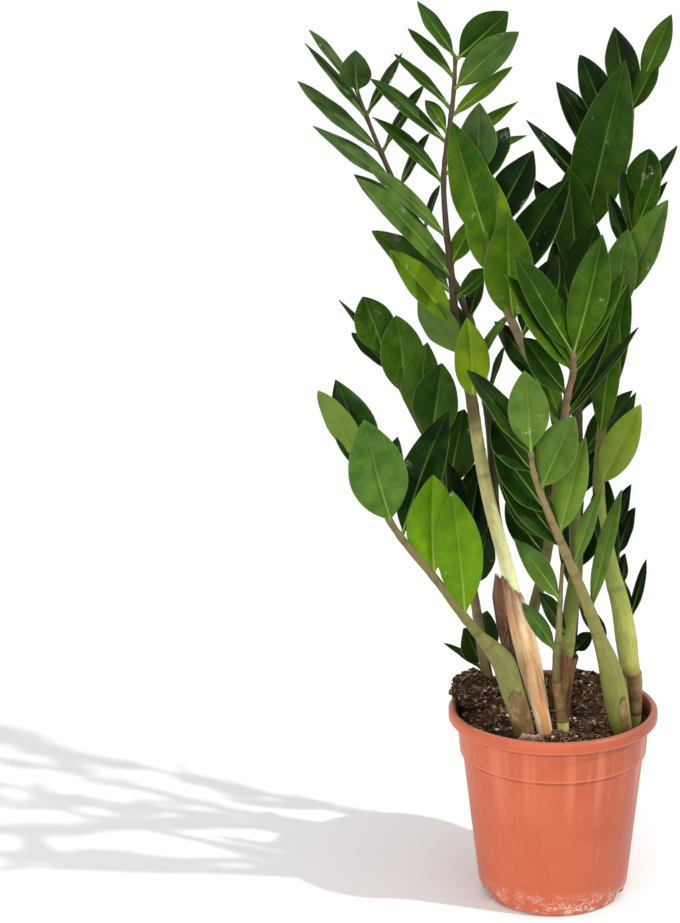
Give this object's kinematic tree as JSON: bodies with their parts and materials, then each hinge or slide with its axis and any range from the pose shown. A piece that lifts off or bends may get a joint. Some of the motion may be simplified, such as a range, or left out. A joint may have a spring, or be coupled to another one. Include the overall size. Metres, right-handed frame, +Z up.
{
  "type": "potted zz plant",
  "caption": "Upright glossy houseplant: fronds of stiff oval leaflets on swollen stalks, standing in peat soil in a tapered plastic nursery pot with a flanged rim.",
  "frame": {"origin": "centre of the flat pad under the middle of the pot, on the surface the pot stands on", "axes": "+Z up; -Y is the front, where the two lowest fronds lean out over the rim; +X to the right seen from the front"},
  "size_m": [0.3079, 0.272, 0.722],
  "materials": {
    "pot_plastic": "satin terracotta coloured injection-moulded plastic with pale limescale round the foot",
    "peat_soil": "rough dark brown peat with pale fibres and perlite crumbs",
    "leaf_green": "waxy glossy mid green leaflets on olive stalks",
    "leaf_dark": "waxy glossy dark green leaflets on brown-green stalks",
    "leaf_bright": "waxy glossy bright green young leaflets on olive stalks",
    "dry_sheath_pale": "dry papery cream and tan sheath with orange streaks",
    "dry_sheath_brown": "dry papery dark brown striated sheath"
  },
  "bodies": {
    "root": {"pot": "pot_plastic", "soil": "peat_soil", "frond_tall_left": "leaf_green", "frond_slim_left": "leaf_dark", "frond_centre_bright": "leaf_green", "frond_rear_right": "leaf_dark", "frond_tall_right": "leaf_green", "frond_centre_high": "leaf_green", "frond_front_right": "leaf_green", "frond_front_left": "leaf_bright", "frond_mid_left": "leaf_dark", "frond_small_front": "leaf_green", "frond_small_right": "leaf_dark", "sprout_left": "leaf_dark", "dry_sheath_tan": "dry_sheath_pale", "dry_sheath_torn": "dry_sheath_brown", "dry_flap_dark": "dry_sheath_brown"}
  },
  "joints": []
}
